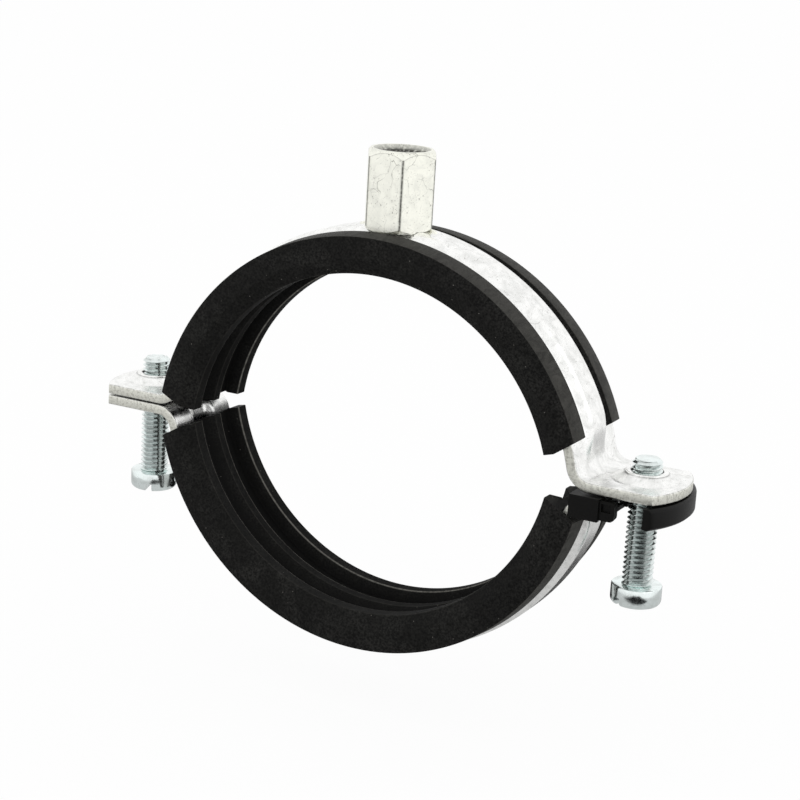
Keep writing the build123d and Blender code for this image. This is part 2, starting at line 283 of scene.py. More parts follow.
def rounded(corners, steps=4):
    """Points (u, v, mark) of a closed outline of (u, v, rounding, mark) corners. The mark is painted shade on
    the collar and partly wear, partly painted sheen on the rubber; round a rounded corner it peaks halfway.
    """
    points = []
    count = len(corners)
    for i, (u, v, radius, tone) in enumerate(corners):
        corner = Vector((u, v))
        before = (Vector(corners[i - 1][:2]) - corner).normalized()
        after = (Vector(corners[(i + 1) % count][:2]) - corner).normalized()
        half = before.angle(after, pi) / 2
        if radius == 0 or half > NEARLY_STRAIGHT:
            points.append((u, v, tone))
            continue
        reach = radius / tan(half)
        centre = corner + (before + after).normalized() * radius / sin(half)
        start = corner + before * reach - centre
        turn = (corner + after * reach - centre).angle_signed(start)
        for step in range(steps + 1):
            u, v = centre + Matrix.Rotation(turn * step / steps, 2) @ start
            points.append((u, v, tone * sin(pi * step / steps)))
    return points


def combined(base, tool, operation):
    """A bmesh that holds the exact union, intersection or difference of two."""
    objects = []
    for bm in (base, tool):
        bmesh.ops.recalc_face_normals(bm, faces=bm.faces)
        mesh = bpy.data.meshes.new("work")
        bm.to_mesh(mesh)
        bm.free()
        objects.append(placed("work", mesh))
    cut = objects[0].modifiers.new("cut", "BOOLEAN")
    cut.operation = operation
    cut.solver = "EXACT"
    cut.object = objects[1]
    bpy.context.view_layer.update()
    result = bmesh.new()
    result.from_object(objects[0], bpy.context.evaluated_depsgraph_get())
    for work in objects:
        mesh = work.data
        bpy.data.objects.remove(work)
        bpy.data.meshes.remove(mesh)
    return result


def soften_edges(piece, name, width, degrees):
    """Bevels the edges that turn by more than an angle."""
    soften = piece.modifiers.new(name, "BEVEL")
    soften.width = width
    soften.segments = 2
    soften.limit_method = "ANGLE"
    soften.angle_limit = radians(degrees)


def spread(start, end, count):
    """Evenly spread numbers from one to another, with both."""
    return [start + (end - start) * i / count for i in range(count + 1)]


def ramp(value, soft=0.12):
    """0 below 0 and 1 above 1, with a straight slope between and both bends rounded."""
    if value <= -soft:
        return 0.0
    if value < soft:
        return (value + soft) ** 2 / (4 * soft)
    if value <= 1 - soft:
        return value
    if value < 1 + soft:
        return 1 - (1 + soft - value) ** 2 / (4 * soft)
    return 1.0


# Shader helpers


class NodeMaker:
    """Adds and links nodes in a tree from left to right."""

    def __init__(self, tree):
        self.tree = tree
        self.column = 0

    def add(self, kind, **values):
        """A new node with its settings."""
        node = self.tree.nodes.new(kind)
        self.column += 1
        node.location = (self.column * 190, -(self.column % 3) * 160)
        for key, value in values.items():
            setattr(node, key, value)
        return node

    def link(self, source, target):
        """Links an output to an input."""
        self.tree.links.new(source, target)

    def set(self, socket, value):
        """Links an output to a socket, or sets the socket."""
        if isinstance(value, bpy.types.NodeSocket):
            self.link(value, socket)
        else:
            socket.default_value = value

    def math(self, operation, *values, clamp=False):
        """The result of one operation on its values."""
        node = self.add("ShaderNodeMath", operation=operation, use_clamp=clamp)
        for socket, value in zip(node.inputs, values):
            self.set(socket, value)
        return node.outputs[0]

    def times(self, a, b):
        """The product of two values."""
        return self.math("MULTIPLY", a, b)

    def most(self, a, b):
        """The larger of two values."""
        return self.math("MAXIMUM", a, b)

    def span(self, value, low, high, to_low=0.0, to_high=1.0):
        """Maps a range to another, with both ends held."""
        node = self.add("ShaderNodeMapRange", clamp=True)
        self.set(node.inputs["Value"], value)
        for name, number in (("From Min", low), ("From Max", high), ("To Min", to_low), ("To Max", to_high)):
            self.set(node.inputs[name], number)
        return node.outputs["Result"]

    def mix(self, factor, a, b):
        """A colour between two."""
        node = self.add("ShaderNodeMix", data_type="RGBA")
        self.set(node.inputs["Factor"], factor)
        self.set(node.inputs["A"], a)
        self.set(node.inputs["B"], b)
        return node.outputs["Result"]

    def millimetres(self, stretch=(1, 1, 1), turn=(0, 0, 0)):
        """Object coordinates in millimetres, turned and stretched."""
        place = self.add("ShaderNodeTexCoord")
        mapping = self.add("ShaderNodeMapping")
        mapping.inputs["Scale"].default_value = [s / MM for s in stretch]
        mapping.inputs["Rotation"].default_value = turn
        self.link(place.outputs["Object"], mapping.inputs["Vector"])
        return mapping.outputs["Vector"]

    def noise(self, vector, scale, detail=4.0, roughness=0.55, distortion=0.0, output="Fac"):
        """Soft noise, as a value or as a colour."""
        node = self.add("ShaderNodeTexNoise")
        values = {"Vector": vector, "Scale": scale, "Detail": detail, "Roughness": roughness,
                  "Distortion": distortion}
        for name, value in values.items():
            self.set(node.inputs[name], value)
        return node.outputs[output]

    def cells(self, vector, scale, feature="F1"):
        """Distance to the nearest cell's point or edge."""
        node = self.add("ShaderNodeTexVoronoi", feature=feature)
        self.link(vector, node.inputs["Vector"])
        self.set(node.inputs["Scale"], scale)
        return node.outputs["Distance"]


def new_group(name, colours, values):
    """A shader node group with named inputs, its maker and its inputs' sockets."""
    group = bpy.data.node_groups.new(name, "ShaderNodeTree")
    inputs, outputs = (*colours, *values), GROUP_RESULTS
    for title, way in [(title, "INPUT") for title in inputs] + [(title, "OUTPUT") for title in outputs]:
        kind = "NodeSocketColor" if title in (*colours, "Color") else "NodeSocketFloat"
        group.interface.new_socket(name=title, in_out=way, socket_type=kind)
    maker = NodeMaker(group)
    return group, maker, maker.add("NodeGroupInput").outputs


def close_group(maker, *results):
    """Links a group's results to its output node."""
    output = maker.add("NodeGroupOutput")
    for title, result in zip(GROUP_RESULTS, results):
        maker.link(result, output.inputs[title])


def build_plating_group():
    """Mottled zinc with dull clouds, fine pits and thin dark scratches, and painted shade where the mesh's
    mask asks for it.
    """
    group, maker, given = new_group(
        "Zinc Plating",
        ("Bright", "Dull", "Cut Color"),
        ("Cloud", "Scratches", "Specks", "Roughness", "Cut Edge", "Painted Shade"),
    )
    place = maker.millimetres()
    math, times, most, span, mix, patches, cells = (
        maker.math, maker.times, maker.most, maker.span, maker.mix, maker.noise, maker.cells)
    clouds = patches(place, 0.42, 5, 0.62, 0.6)
    cloud = times(span(clouds, 0.42, 0.68), given["Cloud"])
    grain = patches(place, 3.1, 3, 0.7)
    grain_dark = times(span(grain, 0.56, 0.74), 0.45)
    pit = span(cells(place, 1.15), 0.06, 0.13, 1, 0)
    pit = times(pit, span(patches(place, 0.23, 2), 0.5, 0.62))
    lines = []
    for stretch, turn, width in SCRATCHES:
        bent = maker.millimetres(stretch, turn)
        shifted = maker.add("ShaderNodeVectorMath", operation="MULTIPLY_ADD")
        maker.link(patches(bent, 1.7, 3, 0.5, output="Color"), shifted.inputs[0])
        shifted.inputs[1].default_value = (0.55, 0.55, 0.55)
        maker.link(bent, shifted.inputs[2])
        edges = cells(shifted.outputs[0], 1, "DISTANCE_TO_EDGE")
        line = span(edges, width * 0.4, width * 1.6, 1, 0)
        lines.append(times(line, span(patches(bent, 1.3, 2), 0.54, 0.62)))
    scratch = times(most(most(lines[0], lines[1]), lines[2]), given["Scratches"])
    marks = most(times(pit, given["Scratches"]), scratch)
    speck = span(patches(place, 2.6, 2, 0.8), 0.6, 0.7)
    speck = times(speck, span(patches(place, 0.5, 3), 0.4, 0.62))
    torn = patches(place, 1.5, 4, 0.75)
    edge_speck = times(span(torn, 0.47, 0.75), given["Cut Edge"])
    speck = most(times(speck, given["Specks"]), times(edge_speck, 0.9))
    base = mix(cloud, given["Bright"], given["Dull"])
    base = mix(given["Cut Edge"], base, given["Cut Color"])
    base = mix(times(grain_dark, given["Cloud"]), base, given["Dull"])
    base = mix(speck, base, METAL_SPECK)
    rim = times(span(given["Cut Edge"], 0.02, 0.3), span(given["Cut Edge"], 0.35, 0.7, 1, 0))
    rim = times(rim, span(torn, 0.4, 0.6, 0.1, 0.75))
    base = mix(rim, base, EDGE_RIM)
    base = mix(times(marks, 0.9), base, SCRATCH_DARK)
    # Painted shade where the mesh's mask asks for it, broken up a little
    broken = times(given["Painted Shade"], span(patches(place, 1.6, 3), 0.3, 0.5, 0.55, 1))
    base = mix(broken, base, PAINTED_SHADE_DARK)
    rough = math("MULTIPLY_ADD", cloud, 0.25, given["Roughness"])
    rough = math("ADD", rough, times(marks, 0.3))
    rough = math("ADD", rough, times(given["Cut Edge"], 0.12), clamp=True)
    height = math("SUBTRACT", times(clouds, 0.6), times(marks, 0.25))
    height = math("ADD", height, times(grain, 0.12))
    height = math("SUBTRACT", height, times(speck, 0.3))
    close_group(maker, base, rough, height)
    return group


def build_rubber_group():
    """Fine grain, a faint bloom along the surface, a few pale specks, painted shade in the grooves, and a
    pale mark that is partly wear and partly painted sheen.
    """
    group, maker, given = new_group(
        "Moulded Grain",
        ("Base", "Bloom"),
        ("Grain", "Specks", "Roughness", "Wear And Sheen", "Shade"),
    )
    place = maker.millimetres()
    math, times, span, mix, patches, cells = (
        maker.math, maker.times, maker.span, maker.mix, maker.noise, maker.cells)
    bloom = span(patches(place, 0.11, 4, 0.6, 0.8), 0.45, 0.75)
    grain = patches(place, given["Grain"], 3, 0.7)
    bloom = math("MULTIPLY_ADD", bloom, 0.5, 0.35)
    bloom = times(bloom, span(grain, 0.38, 0.64))
    smear = patches(maker.millimetres((0.9, 0.25, 0.6), (0.4, 0.9, 0.2)), 0.8, 5, 0.7, 1.2)
    bloom = math("ADD", bloom, span(smear, 0.6, 0.8, 0, 0.5), clamp=True)
    speck = span(cells(place, 0.62), 0.035, 0.075, 1, 0)
    speck = times(speck, span(patches(place, 0.33, 1), 0.52, 0.58))
    speck = times(speck, given["Specks"])
    worn = times(given["Wear And Sheen"], span(smear, 0.3, 0.6, 0.3, 1))
    base = mix(bloom, given["Base"], given["Bloom"])
    # Painted shade in the grooves, then the pale mark that is partly wear and partly painted sheen
    base = mix(times(given["Shade"], 0.85), base, GROOVE_DARK)
    base = mix(worn, base, RUBBER_WEAR_AND_SHEEN)
    base = mix(speck, base, DUST)
    rough = math("ADD", given["Roughness"], span(grain, 0.3, 0.7, -0.08, 0.1), clamp=True)
    close_group(maker, base, rough, math("ADD", grain, times(speck, 0.8)))
    return group


def grouped_material(name, group, inputs, masks, bump, bump_depth, metallic, specular):
    """A Principled material fed by a node group, whose masks are read from the mesh."""
    material = bpy.data.materials.new(name)
    material.use_nodes = True
    maker = NodeMaker(material.node_tree)
    shader = material.node_tree.nodes["Principled BSDF"]
    effect = maker.add("ShaderNodeGroup", node_tree=group)
    for title, value in inputs.items():
        effect.inputs[title].default_value = value if isinstance(value, float) else opaque(value)
    for title, mask in masks.items():
        stored = maker.add("ShaderNodeAttribute", attribute_name=mask)
        maker.link(stored.outputs["Fac"], effect.inputs[title])
    maker.link(effect.outputs["Color"], shader.inputs["Base Color"])
    maker.link(effect.outputs["Roughness"], shader.inputs["Roughness"])
    relief = maker.add("ShaderNodeBump")
    relief.inputs["Strength"].default_value = bump
    relief.inputs["Distance"].default_value = bump_depth
    maker.link(effect.outputs["Height"], relief.inputs["Height"])
    maker.link(relief.outputs["Normal"], shader.inputs["Normal"])
    shader.inputs["Metallic"].default_value = metallic
    shader.inputs["Specular IOR Level"].default_value = specular
    return material


def opaque(colour):
    """A colour property with its alpha."""
    return (*colour, 1)


def finish(name):
    """The named finish, made the first time it's asked for."""
    if name in bpy.data.materials:
        return bpy.data.materials[name]
    colours = bpy.context.scene.clamp_colours
    # The first of METAL_INPUTS, then the bump's strength and depth
    metals = {
        "band_finish": (colours.zinc, 0.34, 0.4, 0.65, 0.25, 0.35, 0.09 * MM),
        "nut_finish": (colours.nut_zinc, 0.2, 0.5, 0.95, 0.36, 0.3, 0.06 * MM),
        "screw_finish": (colours.screw_zinc, 0.35, 0.2, 0.2, 0.13, 0.15, 0.04 * MM),
    }
    if name in metals:
        *values, bump, depth = metals[name]
        inputs = dict(zip(METAL_INPUTS, (*values, colours.zinc_dull, colours.cut_steel)))
        plating = bpy.data.node_groups.get("Zinc Plating") or build_plating_group()
        return grouped_material(name, plating, inputs, METAL_MASKS, bump, depth, 1, 0.5)
    # MOULDED_INPUTS, then the bump's strength and depth, and the specular level
    mouldings = {
        "rubber_finish": (colours.rubber, colours.rubber_bloom, 2.4, 0.7, 0.6, 0.6, 0.07 * MM, 0.1),
        "plastic_finish": (colours.plastic, colours.plastic_bloom, 3.0, 0.15, 0.4, 0.15, 0.04 * MM, 0.14),
    }
    *values, bump, depth, specular = mouldings[name]
    inputs = dict(zip(MOULDED_INPUTS, values))
    moulded = bpy.data.node_groups.get("Moulded Grain") or build_rubber_group()
    return grouped_material(name, moulded, inputs, MOULDED_MASKS, bump, depth, 0, specular)


# Bands


def arc_centres(sizes):
    """Heights of the upper and the lower arc's centre."""
    return CROWN - sizes.arc_radius - sizes.bead_rise, KEEL + sizes.arc_radius + sizes.bead_rise


def half_path(sizes, centre, face, tip, bead_stop):
    """Stations of half a band from its crown to the lug's tip, with up as plus.

    Each station is (kind, x, z, normal x, normal z, along): along is the arc length from the bead's
    end on the arc, and the inset of the tip's rounding on the lug.
    """
    arc, bend, edge = sizes.arc_radius, sizes.bend_radius, sizes.edge_round
    arc_steps, bend_steps, lug_steps, tip_steps = 110, 14, 60, 3
    back = face + sizes.sheet
    rise = back + bend - centre
    bend_x = sqrt((arc + bend) ** 2 - rise**2)
    foot = atan2(rise, bend_x)
    stations = []
    for angle in spread(pi / 2, foot, arc_steps)[:-1]:
        stations.append(("arc", arc * cos(angle), centre + arc * sin(angle), cos(angle), sin(angle),
                         arc * (angle - foot) - bead_stop))
    for angle in (foot + pi + turn for turn in spread(0, pi / 2 - foot, bend_steps)[:-1]):
        stations.append(("bend", bend_x + bend * cos(angle), back + bend + bend * sin(angle),
                         -cos(angle), -sin(angle), -bead_stop - bend * (angle - foot - pi)))
    for reach in spread(0, tip - edge - bend_x, lug_steps):
        stations.append(("lug", bend_x + reach, back, 0, 1, 0))
    for angle in spread(0, pi / 2, tip_steps)[1:]:
        stations.append(("lug", tip - edge + edge * sin(angle), back, 0, 1, edge * (1 - cos(angle))))
    return stations, bend_x


def across(sizes):
    """(y, inset) samples across the strip, rounded at both edges."""
    edge = sizes.edge_round
    flat = BAND_HALF - edge
    count = 64
    middle = [(flat * (2 * i / count - 1), 0.0) for i in range(count + 1)]
    side = [(flat + edge * sin(pi / 6 * i), edge * (1 - cos(pi / 6 * i))) for i in (1, 2, 3)]
    return [(-y, inset) for y, inset in reversed(side)] + middle + side


def collar_lift(sizes, distance):
    """Height of the drawn collar's cone at a distance from the screw's axis."""
    rim_step = 0.25 * MM
    run = (sizes.collar_foot - distance) / (sizes.collar_foot - sizes.collar_rim)
    return (sizes.collar_rise - rim_step) * ramp(run, 0.1)


def bead_relief(sizes, y, along):
    """Lift of a strip's outside and inside on the arc, and the dent at the bead's end."""
    slope = (sizes.bead_base - sizes.bead_top) / 2
    inner_inset = sizes.sheet * tan(atan2(sizes.bead_rise, slope) / 2)
    edge_soft, end_soft = 0.3, 0.45
    dent_place, dent_radius, dent_depth = 0.6 * MM, 1.1 * MM, 0.3 * MM
    run = ramp(along / sizes.bead_run_out, end_soft)
    lift = sizes.bead_rise * run * ramp((sizes.bead_base / 2 - abs(y)) / slope, edge_soft)
    under = sizes.bead_rise * run * ramp((sizes.bead_base / 2 - inner_inset - abs(y)) / slope, edge_soft)
    dent = exp(-((along - dent_place) ** 2 + y**2) / dent_radius**2)
    return lift - dent_depth * dent, under, dent


def collar_relief(sizes, distance):
    """Lift of a lug's top and underside round the screw, and the painted shade in the collar's creases."""
    lean = 0.9 * MM
    foot_crease = 0.12 * exp(-((distance - sizes.collar_foot) / (0.16 * MM)) ** 2)
    rim_crease = 0.6 * exp(-((distance - sizes.collar_rim - 0.05 * MM) / (0.2 * MM)) ** 2)
    return collar_lift(sizes, distance), collar_lift(sizes, distance + lean), foot_crease + rim_crease


def pressed_band(sizes, up, centre, left_face, right_face, right_tip, bead_stop, collars):
    """A bmesh of one pressed strip: the arc with its bead, both bends and both lugs."""
    # How dark the painted shade in the bead's end dent is, and how fast the cut edge's mask rises
    section = across(sizes)
    dent_shade, edge_wear = 0.25, 1.4
    screw_x = abs(sum(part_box("right_screw"), Vector()).x) / 2
    halves = []
    for side, face, tip in ((-1, left_face, LUG_TIP), (1, right_face, right_tip)):
        stations, bend_x = half_path(sizes, centre, face, tip, bead_stop)
        rows, cuts, grimes = [], [], []
        for kind, x, z, nx, nz, along in stations:
            outer, inner, cut, grime = [], [], [], []
            for y, inset in section:
                place, trim = x, inset
                lift = under = shade_amount = 0.0
                if kind != "lug":
                    lift, under, dent = bead_relief(sizes, y, along)
                    # Painted shade in the dent at the bead's end
                    shade_amount = dent_shade * dent
                else:
                    end = tip - sizes.lug_end_radius + sqrt(sizes.lug_end_radius**2 - y**2)
                    place = bend_x + (x - bend_x) * (end - bend_x) / (tip - bend_x)
                    trim = max(inset, along)
                    if collars:
                        # Painted shade in the collar's creases
                        lift, under, shade_amount = collar_relief(sizes, sqrt((place - screw_x) ** 2 + y**2))
                top, bottom = lift - trim, under - sizes.sheet + trim
                outer.append((side * (place + nx * top), y, up * (z + nz * top)))
                inner.append((side * (place + nx * bottom), y, up * (z + nz * bottom)))
                cut.append(min(1.0, edge_wear * trim / sizes.edge_round))
                grime.append(shade_amount)
            rows.append(outer + inner[::-1])
            cuts.append(cut + cut[::-1])
            grimes.append(grime + [0.0] * len(grime))
        halves.append((rows, cuts, grimes))
    rows, cuts, grimes = (left[::-1] + right[1:] for left, right in zip(*halves))
    bm, grid = grid_mesh(rows, cut_edge=cuts, grime=grimes)
    for row in (grid[0], grid[-1]):
        for j in range(len(row) // 2 - 1):
            bm.faces.new((row[j], row[j + 1], row[-2 - j], row[-1 - j]))
    return bm


def upright_prism(outline, low, high):
    """A bmesh of a plan outline drawn out from low to high."""
    return capped([[(x, y, z) for x, y in outline] for z in (low, high)])


def standing_prism(outline, front, behind):
    """A bmesh of an (x, z) outline drawn out from front to behind."""
    return capped([[(x, y, z) for x, z in outline] for y in (front, behind)])


def cut_through(bm, outline):
    """The mesh with a plan outline cut right through its lugs."""
    reach = 10 * MM
    return combined(bm, upright_prism(outline, -reach, reach), "DIFFERENCE")


def circle_outline(x, y, radius, start=0.0, end=2 * pi, steps=48):
    """Points of a plan arc."""
    closed = abs(end - start - 2 * pi) < SAME_ANGLE
    angles = spread(start, end, steps)[:steps if closed else steps + 1]
    return [(x + radius * cos(angle), y + radius * sin(angle)) for angle in angles]


def screw_axis(node):
    """A screw's place in plan."""
    low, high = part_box(node)
    return (low.x + high.x) / 2, (low.y + high.y) / 2


class CLAMP_OT_bands(Operator):
    """Presses both steel bands"""

    bl_idname = "clamp.bands"
    bl_label = "Pressed Bands"

    def execute(self, context):
        sizes = context.scene.clamp_sizes
        upper_centre, lower_centre = arc_centres(sizes)
        upper = pressed_band(sizes, 1, upper_centre, 0, 0, LUG_TIP, sizes.bead_stop, True)
        for node in SCREWS:
            upper = cut_through(upper, circle_outline(*screw_axis(node), sizes.collar_bore + 0.2 * MM))
        finish_mesh("band_upper", upper, "band_finish", "upper_half", "upper_band")
        lower = pressed_band(sizes, -1, -lower_centre, LEFT_GAP, RIGHT_GAP, LUG_TIP - sizes.slotted_trim,
                             -sizes.bead_into_bend, False)
        lower = cut_through(lower, circle_outline(*screw_axis("left_screw"), sizes.hole))
        x, y = screw_axis("right_screw")
        slot = circle_outline(x, y, sizes.slot_half, 0, pi)
        slot += [(x - sizes.slot_half, -2 * BAND_HALF), (x + sizes.slot_half, -2 * BAND_HALF)]
        lower = cut_through(lower, slot)
        finish_mesh("band_lower", lower, "band_finish", "lower_half", "lower_band")
        return {"FINISHED"}


class CLAMP_OT_collars(Operator):
    """Turns the rims of the two threaded collars"""

    bl_idname = "clamp.collars"
    bl_label = "Collar Rims"

    def execute(self, context):
        sizes = context.scene.clamp_sizes
        top = sizes.sheet + sizes.collar_rise
        foot = top - 1.1 * MM
        edge = 0.22 * MM
        # The fourth number of each corner is painted shade: dark down the bore, faint at the rim's inner edge
        outline = rounded([
            (sizes.collar_bore, foot, 0, 1),
            (sizes.collar_rim, foot, 0, 0),
            (sizes.collar_rim, top - 0.5 * MM, 0, 0),
            (sizes.collar_rim, top, edge, 0),
            (sizes.collar_bore + 0.15 * MM, top, edge * 0.6, 0.1),
            (sizes.collar_bore, top - 0.4 * MM, 0, 1),
        ])
        profile, grime = [(r, z) for r, z, _ in outline], [shade_amount for _, _, shade_amount in outline]
        for node in SCREWS:
            ring = lathe(profile, *screw_axis(node), grime=grime)
            name = "collar_rim_" + node.split("_")[0]
            finish_mesh(name, ring, "band_finish", "upper_half")
        return {"FINISHED"}


# Liners


def liner_outline(sizes):
    """Section of the rubber as (y, radius, pale mark), a C shape round the steel; the pale mark on the corner
    lines and the lip tops is partly wear, partly painted sheen.
    """
    edge = BAND_HALF + 0.08 * MM
    over = sizes.arc_radius + 0.06 * MM
    lip = LINER_HALF - sizes.lip_reach
    half = [
        (1.0 * MM, sizes.rib_top, 0.45 * MM, 1),
        (3.1 * MM, sizes.groove_floor, 0.5 * MM, 0),
        (6.0 * MM, sizes.groove_floor, 0.4 * MM, 0),
        (6.9 * MM, sizes.seat, 0.4 * MM, 1),
        (9.6 * MM, sizes.seat, 0.28 * MM, 0.1),
        (LINER_HALF, sizes.lobe_side, 0.7 * MM, 0),
        (LINER_HALF, sizes.lip_outer_top, 0.1 * MM, 0.28),
        (lip, sizes.lip_inner_top, 0.12 * MM, 0.28),
        (lip, over, 0.12 * MM, 0),
        (edge, over, 0.1 * MM, 0),
        (edge, sizes.liner_back, 0.1 * MM, 0),
    ]
    other = [(-y, radius, soft, tone if y > 2 * MM else 0.1) for y, radius, soft, tone in reversed(half)]
    return rounded(half + other)


def liner_masks(sizes, outline):
    """How much pale mark, partly wear and partly painted sheen, and how much painted shade each point of the
    rubber's section has.
    """
    lip_wear_and_sheen, least_shade, groove_half = 0.21, 0.25, 6.7 * MM
    worn, shade = [], []
    for y, radius, tone in outline:
        # Pale mark on the lip tops, partly wear and partly painted sheen; painted shade in the grooves
        inward = (LINER_HALF - abs(y)) / sizes.lip_reach
        lip_top = sizes.lip_outer_top + (sizes.lip_inner_top - sizes.lip_outer_top) * inward
        on_top = radius > lip_top - 0.03 * MM and inward > 0.005
        worn.append(max(tone, lip_wear_and_sheen if on_top else 0.0))
        deep = (radius - sizes.rib_top) / (sizes.groove_floor - sizes.rib_top)
        in_groove = abs(y) < groove_half and radius < sizes.liner_back
        shade.append(min(1.0, max(least_shade, deep)) if in_groove else 0.0)
    return worn, shade


def swept_liner(sizes, up, centre, start, end):
    """A bmesh of the rubber swept from one end angle to the other, with its lips set back at the ends."""
    outline = liner_outline(sizes)
    body_edge = (sizes.seat + sizes.liner_back) / 2
    setback_span = sizes.lip_top + 1 * MM - body_edge
    rows = []
    for t in spread(0, 1, 190):
        row = []
        for y, radius, _ in outline:
            setback = max(0.0, radius - body_edge) / setback_span * sizes.lip_setback
            trim = setback / radius
            angle = start - trim + (end - start + 2 * trim) * t
            row.append((radius * cos(angle), y, centre + up * radius * sin(angle)))
        rows.append(row)
    worn, shade = liner_masks(sizes, outline)
    return capped(rows, worn=[worn] * len(rows), grime=[shade] * len(rows))


class CLAMP_OT_liners(Operator):
    """Sweeps the rubber of both halves"""

    bl_idname = "clamp.liners"
    bl_label = "Rubber Liners"

    def execute(self, context):
        sizes = context.scene.clamp_sizes
        for (name, (up, body, ends)), centre in zip(LINERS.items(), arc_centres(sizes)):
            left, right = (radians(angle) for angle in ends)
            rubber = swept_liner(sizes, up, centre, pi - left, right)
            title = "rubber_" + name.split("_")[0]
            piece = finish_mesh(title, rubber, "rubber_finish", body, name)
            soften_edges(piece, "cut edges", 0.12 * MM, 60)
        return {"FINISHED"}


# Screws and nut


def threaded_rod(x, y, low, high, crest, root, pitch, columns=48):
    """A bmesh of a helical thread, one turn longer at each end; its profile is in parts of the pitch."""
    profile = [(0.0, root), (0.1, root), (0.44, crest), (0.56, crest), (0.9, root)]
    turns = int((high - low) / pitch) + 3
    last = columns * turns
    bm = bmesh.new()
    rows = []
    for n in range(last + 1):
        angle = 2 * pi * n / columns
        base = low - pitch + pitch * n / columns
        rows.append([bm.verts.new((x + r * cos(angle), y + r * sin(angle), base + part * pitch))
                     for part, r in profile])
    for n in range(last):
        near, after = rows[n], rows[n + 1]
        for k in range(len(profile) - 1):
            bm.faces.new((near[k], after[k], after[k + 1], near[k + 1]))
        if n + columns < last:
            bm.faces.new((near[-1], after[-1], rows[n + columns + 1][0], rows[n + columns][0]))
    middle = (low + high) / 2
    for height in (low - 2 * pitch, low + pitch * (turns + 1)):
        hub = bm.verts.new((x, y, height))
        for edge in [e for e in bm.edges if e.is_boundary]:
            a, b = edge.verts
            if (a.co.z > middle) == (height > middle) and hub not in (a, b):
                bm.faces.new((a, b, hub))
    return bm


def batter_tip(bm, top, batter):
    """Dents the flat end of a screw."""
    for vert in bm.verts:
        if vert.co.z > top - 0.01 * MM:
            spot = (vert.co / MM) * 0.9
            vert.co.z -= batter * (0.5 + 0.5 * noise.noise(spot) + 0.3 * noise.noise(spot * 2.7))


def slotted_head(sizes, x, y, low, seat, head_radius, slot_turn):
    """A bmesh of a cheese head with its screwdriver slot."""
    edge, edge_steps, rim = 1.05 * MM, 6, 0.3 * MM
    slot_half_length, below = 1.5, 1 * MM
    outline = [(0, low)]
    for angle in spread(0, pi / 2, edge_steps):
        outline.append((head_radius - edge + edge * sin(angle), low + edge - edge * cos(angle)))
    outline += [(head_radius, seat - rim), (head_radius - 0.3 * rim, seat - 0.3 * rim),
                (head_radius - rim, seat), (0, seat)]
    head = lathe(outline, x, y, 72)
    turn = radians(slot_turn)
    along, beside = Vector((cos(turn), sin(turn))), Vector((-sin(turn), cos(turn)))
    corners = [Vector((x, y)) + along * a * head_radius * slot_half_length + beside * b * sizes.slot_width / 2
               for a, b in ((-1, -1), (1, -1), (1, 1), (-1, 1))]
    slot = upright_prism([tuple(corner) for corner in corners], low - below, low + sizes.slot_depth)
    return combined(head, slot, "DIFFERENCE")


def slotted_screw(sizes, node, slot_turn, batter):
    """A bmesh of one cheese-head screw, pointing up."""
    x, y = screw_axis(node)
    low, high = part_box(node)
    seat = low.z + sizes.head_height
    crest, root = sizes.screw_crest, sizes.screw_root
    shank = threaded_rod(x, y, seat, high.z, crest, root, sizes.screw_pitch)
    wide, bite, chamfer, valley_shade = 2 * crest, 0.5 * MM, 0.75 * MM, 0.28
    tip = [(root * part, high.z) for part in (0.95, 0.8, 0.6, 0.4, 0.2, 0)]
    skin = [(0, seat - bite), (wide, seat - bite), (wide, high.z - chamfer - (wide - crest)), *tip]
    envelope = lathe(skin, x, y)
    batter_tip(envelope, high.z, batter)
    shank = combined(shank, envelope, "INTERSECT")
    head = slotted_head(sizes, x, y, low.z, seat, (high.x - low.x) / 2, slot_turn)
    screw = combined(head, shank, "UNION")
    # Painted shade in the thread's valleys, deepest at the root
    valley = screw.verts.layers.float.new("grime")
    for vert in screw.verts:
        reach = (vert.co.xy - Vector((x, y))).length
        if vert.co.z > seat + 0.05 * MM and reach > 0.97 * root:
            vert[valley] = valley_shade * min(1.0, max(0.0, (crest - reach) / (crest - root)))
    return screw


class CLAMP_OT_screws(Operator):
    """Cuts both slotted screws"""

    bl_idname = "clamp.screws"
    bl_label = "Slotted Screws"

    def execute(self, context):
        sizes = context.scene.clamp_sizes
        for node, (slot_turn, batter) in SCREWS.items():
            screw = slotted_screw(sizes, node, slot_turn, batter)
            name = "screw_" + node.split("_")[0]
            finish_mesh(name, screw, "screw_finish", node, node)
        return {"FINISHED"}


def thread_wave(turns):
    """0 at a thread's crest and 1 at its root, for a place counted in turns."""
    part = turns - floor(turns)
    return min(1.0, max(0.0, abs(part - 0.5) * 2.6 - 0.15))


def hexagon_radius(angle, flats, corner_round):
    """Radius of a hexagon with rounded corners, at an angle from a corner's axis at 0."""
    part = angle % (pi / 3) - pi / 6
    away = pi / 6 - abs(part)
    reach = (flats - corner_round) / cos(pi / 6)
    start = atan2(corner_round * sin(pi / 6), reach + corner_round * cos(pi / 6))
    if away >= start:
        return flats / cos(part), 0.0
    radius = reach * cos(away) + sqrt(corner_round**2 - (reach * sin(away)) ** 2)
    return radius, 1 - away / start


def nut_foot(sizes, angle, radius):
    """Height of the nut's underside, which lies over the band's bead and has a turned edge."""
    x, y = radius * cos(angle), radius * sin(angle)
    bead = sizes.bead_rise * ramp((sizes.bead_base / 2 - abs(y)) * 2 / (sizes.bead_base - sizes.bead_top))
    band = arc_centres(sizes)[0] + sqrt((sizes.arc_radius + bead + 0.02 * MM) ** 2 - x**2)
    turned = NUT_SEAT + max(0.0, radius - (NUT_FLATS - 0.25 * MM)) * 0.9
    return max(band, turned)


